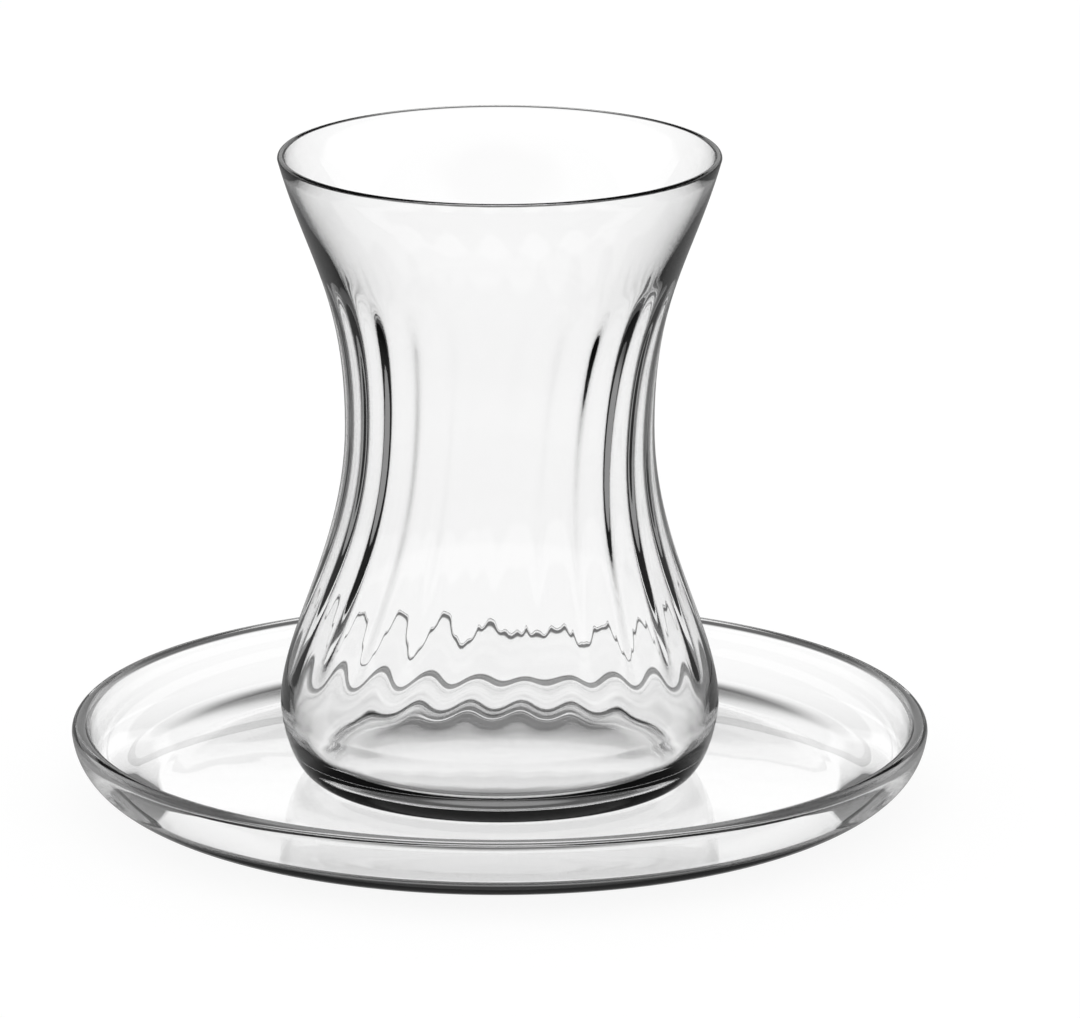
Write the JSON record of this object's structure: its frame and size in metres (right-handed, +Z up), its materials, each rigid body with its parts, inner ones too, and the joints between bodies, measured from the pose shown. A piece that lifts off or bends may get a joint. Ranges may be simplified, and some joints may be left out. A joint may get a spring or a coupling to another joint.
{
  "type": "turkish tea glass with saucer",
  "caption": "Empty tulip-shaped tea glass in clear glass with swirled optic flutes inside, standing on a shallow clear glass saucer.",
  "frame": {"origin": "on the axis of glass and saucer, at the level that the saucer's foot ring rests on", "axes": "+Z up along the axis of glass and saucer; all directions around the axis are alike, flutes apart"},
  "size_m": [0.112, 0.112, 0.0858],
  "materials": {
    "saucer_glass": "clear pressed soda-lime glass, fire polished",
    "cup_glass": "clear soda-lime glass, fire polished"
  },
  "bodies": {
    "root": {"saucer": "saucer_glass", "tea_glass": "cup_glass"}
  },
  "joints": []
}
